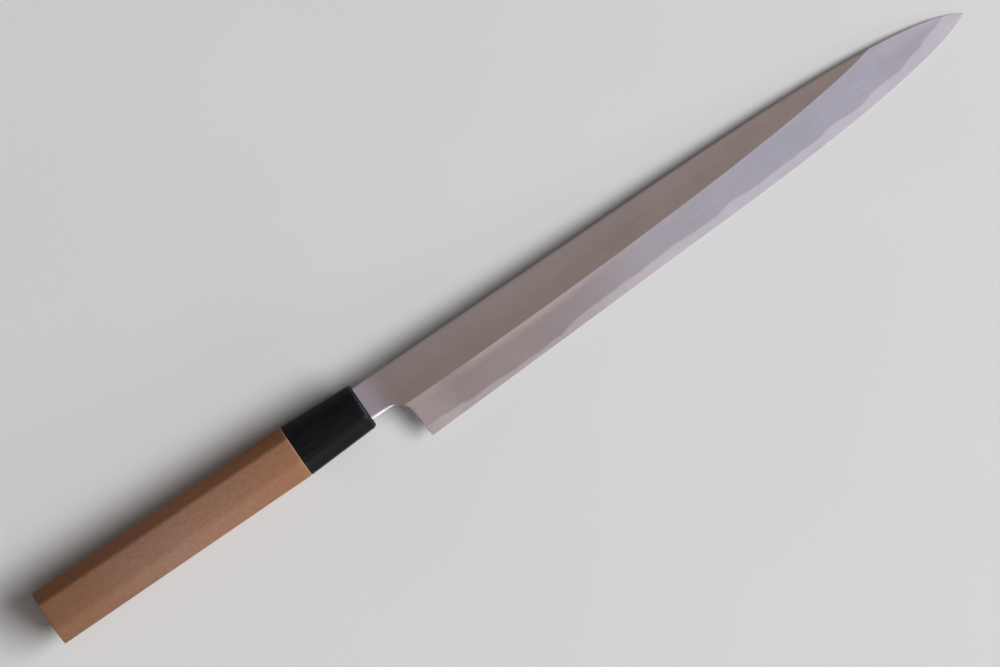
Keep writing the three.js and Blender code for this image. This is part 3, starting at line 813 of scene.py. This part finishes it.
# Octagon at each x, its sides moved in by inset: each corner is a short parabola between points
# cornerEase along its two sides, longest on the ridges towards the edge, and each flat starts crown
# further in and bows out, the longest by as much and the others by the square of their length.
def octagonRings(x, inset):
    x, inset = np.broadcast_arrays(np.asarray(x, float), np.asarray(inset, float) + handle["crown"])
    across = lambda values: np.interp(x, sectionX, values)
    shift = inset * math.tan(math.pi / 8)  # what that takes off each half side
    top, side = across(sectionHeight) / 2 - inset, across(sectionWidth) / 2 - inset
    upper, lower = across(handle["upperRidge"]) - shift, across(handle["lowerRidge"]) - shift
    crownEnd = across(handle["crownFlat"]) / 2 - shift
    y = np.stack([top, top, upper, -lower, -top, -top, -lower, upper], 1)
    z = np.stack([-crownEnd, crownEnd, side, side, crownEnd, -crownEnd, -side, -side], 1)
    corner = np.stack([y, z], -1)[:, :, None, :]
    following, previous = np.roll(corner, -1, 1), np.roll(corner, 1, 1)
    unit = lambda v: v / np.linalg.norm(v, axis=-1, keepdims=True)
    ease = np.array(handle["cornerEase"])[:, None, None]
    begin = corner + unit(previous - corner) * ease
    end = corner + unit(following - corner) * ease
    t = np.linspace(0, 1, handle["cornerSteps"])[:, None]
    turned = (1 - t) ** 2 * begin + 2 * (1 - t) * t * corner + t ** 2 * end
    s = np.linspace(0, 1, handle["flatSteps"] + 2)[1:-1, None]
    run = np.roll(begin, -1, 1) - end
    outwards = unit(np.stack([run[..., 1], -run[..., 0]], -1))
    length = np.linalg.norm(run, axis=-1, keepdims=True)
    bow = handle["crown"] * (length / length.max(1, keepdims=True)) ** 2
    flat = end + run * s + outwards * bow * 4 * s * (1 - s)
    ring = np.concatenate([turned, flat], 2).reshape(len(x), -1, 2)
    return np.concatenate([np.broadcast_to(x[:, None, None], ring.shape[:2] + (1,)), ring], -1)


plainRing = octagonRings([collarX], [0.0])[0, :, 1:]
ringAngle = np.arctan2(plainRing[:, 1], plainRing[:, 0])


def roundRings(x, radius):  # circles with their points at the octagon's angles
    x, radius = np.broadcast_arrays(np.asarray(x, float), np.asarray(radius, float))
    ones = np.ones_like(ringAngle)
    return np.stack([x[:, None] * ones, radius[:, None] * np.cos(ringAngle),
                     radius[:, None] * np.sin(ringAngle)], -1)


def slotRings(x, halfHeight, halfThickness):  # rectangles with their points at the octagon's angles
    reach = np.minimum(np.asarray(halfHeight)[:, None] / np.abs(np.cos(ringAngle)),
                       np.asarray(halfThickness)[:, None] / np.abs(np.sin(ringAngle)))
    ones = np.ones_like(ringAngle)
    return np.stack([np.asarray(x)[:, None] * ones, reach * np.cos(ringAngle),
                     reach * np.sin(ringAngle)], -1)


def quarterTurn(steps):  # setback and inset of a rounded edge, both as shares of its radius
    turn = np.linspace(0, np.pi / 2, steps)
    return 1 - np.sin(turn), 1 - np.cos(turn)


woodBody = {
    "buttEase": 0.3, "collarEase": 0.65, "easeSteps": 6, "buttShares": (0.12, 0.4, 0.7, 0.93),
    "bodyPlaces": 40, "tenonStep": 10, "tenonEase": 0.25, "slotEnd": 2.6,
}


# Wood: from the middle of the butt outwards, along the octagon, in to the tenon, along it to its
# end and back down the tang's slot.
def woodRings(own):
    setback, inset = quarterTurn(own["easeSteps"])
    buttRing = octagonRings([0.0], [own["buttEase"]])
    shares = np.array(own["buttShares"])[:, None, None]
    butt = np.concatenate([np.zeros_like(buttRing[..., :1]), buttRing[..., 1:]], -1) * shares
    rounded = octagonRings(own["buttEase"] * inset, own["buttEase"] * setback)
    bodyX = np.linspace(own["buttEase"], collarX - own["collarEase"], own["bodyPlaces"])[1:-1]
    body = octagonRings(bodyX, np.zeros(len(bodyX)))
    lip = octagonRings(collarX - own["collarEase"] * setback, own["collarEase"] * inset)
    tenon = roundRings([collarX, collarX + own["tenonStep"], tenonEndX - own["tenonEase"], tenonEndX],
                       [tenonRadius] * 3 + [tenonRadius - own["tenonEase"]])
    slotX = np.array([tenonEndX, tangEndX - own["slotEnd"]])
    share = (mouthX - slotX) / (mouthX - tangEndX)
    low, high = ironBody["tangHeight"]
    thin, thick = ironBody["tangThickness"]
    slot = slotRings(slotX, (high + (low - high) * share) / 2 + handle["slotMargin"],
                     (thick + (thin - thick) * share) / 2 + handle["slotMargin"])
    return np.concatenate([butt, rounded, body, lip, tenon, slot])


def markSide(p):  # height above the ridge of the side facet
    return p[:, 1] - np.interp(p[:, 0], sectionX, handle["upperRidge"])


pieceFromRings("handle_wood", woodRings(woodBody), "wood_handle", [magnoliaWood],
               marks={"aboveSide": markSide})

hornRing = {
    "backEase": 0.18, "bodyPlaces": 14, "lip": 0.25,
    "chamferBack": (1.1, 0.96, 0.14, 0.0), "chamferIn": (0.0, 0.04, 0.52, 0.66),
}


# Ferrule: along the outside, over the chamfer, in across the mouth and back through the bore.
def ferruleRings(own):
    start = octagonRings([collarX, collarX + own["backEase"]], [own["backEase"], 0.0])
    bodyX = np.linspace(collarX + own["backEase"], mouthX - own["chamferBack"][0], own["bodyPlaces"])[1:-1]
    body = octagonRings(bodyX, np.zeros(len(bodyX)))
    chamfer = octagonRings(mouthX - np.array(own["chamferBack"]), own["chamferIn"])
    bore = roundRings([mouthX, mouthX - own["lip"], (mouthX + collarX) / 2, collarX],
                      [boreRadius + own["lip"], boreRadius, boreRadius, boreRadius])
    return np.concatenate([start, body, chamfer, bore])


pieceFromRings("ferrule_horn", ferruleRings(hornRing), "horn_ferrule", [blackHorn], loop=True)

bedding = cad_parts["tang_bedding"]
bedding.data.materials.clear()
bedding.data.materials.append(setResin)

# Floor: the knife lies on the collar's lower flat and on the back of its tip, so the floor is the
# plane through both, slightly tilted in the knife's own frame.
floorLook = {
    "reach": 4000.0, "pale": (0.80, 0.795, 0.785, 1), "paler": (0.83, 0.825, 0.815, 1), "gloss": 0.2,
    "patchesPerMetre": 3.0, "grainsPerMetre": 900.0, "roughness": (0.7, 0.8), "bump": 0.05, "depth": 0.0002,
}
collarZ = ferruleLow[2]
floorSlope = (backZ - collarZ) / (tipX - collarX)


def makeFloor(look):
    reach = look["reach"]
    corner = np.array([(-reach, -reach), (reach, -reach), (reach, reach), (-reach, reach)])
    height = collarZ + floorSlope * (corner[:, :1] - collarX)
    mesh = bpy.data.meshes.new("floor")
    mesh.from_pydata((np.concatenate([corner, height], 1) / 1000).tolist(), [], [(0, 1, 2, 3)])
    material, tree, shader, place = newMaterial("paleFloor", Specular_IOR_Level=look["gloss"])
    patches = cloudsOf(tree, place, look["patchesPerMetre"])
    grains = cloudsOf(tree, place, look["grainsPerMetre"])
    colour = mixColour(tree, patches, look["pale"], look["paler"])
    finishSurface(tree, shader, look, colour, rangeOf(tree, grains, 0, 1, *look["roughness"]), grains)
    mesh.materials.append(material)
    floor = bpy.data.objects.new("floor", mesh)
    bpy.context.scene.collection.objects.link(floor)
    return floor


makeFloor(floorLook)

# Camera: straight above, turned so that the knife runs up to the right
cameraPlace = {"centre": (205.05, -6.72), "height": 2670.8, "turn": -34.15, "lens": 250.0}


def makeCamera(own):
    camera = bpy.data.objects.new("camera", bpy.data.cameras.new("camera"))
    bpy.context.scene.collection.objects.link(camera)
    camera.location = Vector((*own["centre"], own["height"])) / 1000
    camera.rotation_euler = (0, 0, math.radians(own["turn"]))
    camera.data.lens = own["lens"]
    bpy.context.scene.camera = camera


makeCamera(cameraPlace)

# Light: one large soft lamp past the tip, a weak low one on the edge's side, two dim panels overhead
# that the flat and the bevel mirror, and an even dim room, paler where it is mirrored
lamps = {
    "windowLamp": {"place": (4090, -2840, 4416), "aim": (210, 0, 0), "turn": 0, "size": (6000, 2600),
                   "watts": 465.0, "colour": (0.96, 0.97, 1.0)},
    "sideLamp": {"place": (230, -1700, 560), "aim": (200, 0, 0), "turn": 0, "size": (1400, 350),
                 "watts": 4.0, "colour": (0.95, 0.97, 1.0)},
    "flatPanel": {"place": (420, 40, 1300), "aim": (420, 40, 0), "turn": 0, "size": (700, 500),
                  "watts": 0.12, "colour": (1.0, 0.95, 0.92)},
    "bevelPanel": {"place": (340, -500, 1300), "aim": (340, -500, 0), "turn": 56, "size": (900, 450),
                   "watts": 0.5, "colour": (1.0, 0.96, 0.955)},
}
room = {"colour": (0.11, 0.10, 0.097, 1), "mirrored": (0.30, 0.288, 0.284, 1)}


def makeLamps():
    for name, own in lamps.items():
        data = bpy.data.lights.new(name, "AREA")
        data.shape = "RECTANGLE"
        data.size, data.size_y = own["size"][0] / 1000, own["size"][1] / 1000
        data.energy, data.color = own["watts"], own["colour"]
        lamp = bpy.data.objects.new(name, data)
        lamp.location = Vector(own["place"]) / 1000
        towards = Vector(own["aim"]) / 1000 - lamp.location
        turned = Quaternion((0, 0, 1), math.radians(own["turn"]))
        lamp.rotation_euler = (towards.to_track_quat("-Z", "Y") @ turned).to_euler()
        lamp.visible_camera = False
        bpy.context.scene.collection.objects.link(lamp)
    world = bpy.data.worlds.new("room")
    world.use_nodes = True
    tree = world.node_tree
    glossy = addNode(tree, "LightPath").outputs["Is Glossy Ray"]
    tree.links.new(mixColour(tree, glossy, room["colour"], room["mirrored"]),
                   tree.nodes["Background"].inputs["Color"])
    bpy.context.scene.world = world


makeLamps()
bpy.context.scene.view_settings.view_transform = "Standard"
print("stage, camera and lamps made")
